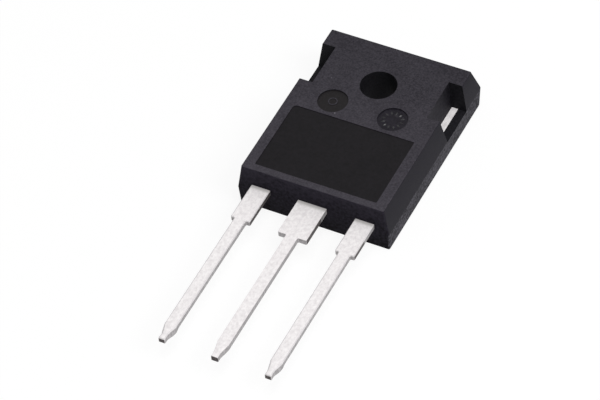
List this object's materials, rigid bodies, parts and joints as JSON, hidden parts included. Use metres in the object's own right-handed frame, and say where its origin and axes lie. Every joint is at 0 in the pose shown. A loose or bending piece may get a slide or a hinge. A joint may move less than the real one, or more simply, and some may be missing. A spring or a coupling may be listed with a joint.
{
  "type": "power mosfet",
  "caption": "Flat power transistor for switching heavy currents: an epoxy block moulded round a copper heat-sink tab, with a screw hole, notched sides and straight flat leads.",
  "frame": {"origin": "where the axis of the mounting hole meets the back face, which is the face that lies on a heat sink", "axes": "+X across the body towards the source lead, +Y along the body towards the end with the mounting hole, +Z out of the front face; the leads run along -Y"},
  "size_m": [0.016, 0.0409, 0.005],
  "materials": {
    "black_epoxy": "matte moulded epoxy, fine grain, with polished fields",
    "tinned_copper": "copper under matte tin plate",
    "silicon": "metallised silicon chip",
    "solder": "dull solder",
    "bond_wire": "drawn aluminium wire"
  },
  "bodies": {
    "root": {"moulded_body": "black_epoxy", "drain_tab_and_lead": "tinned_copper", "gate_lead": "tinned_copper", "source_lead": "tinned_copper", "silicon_die": "silicon", "die_attach_solder": "solder", "gate_bond_wire": "bond_wire", "source_bond_wire_1": "bond_wire", "source_bond_wire_2": "bond_wire", "source_bond_wire_3": "bond_wire"}
  },
  "joints": []
}
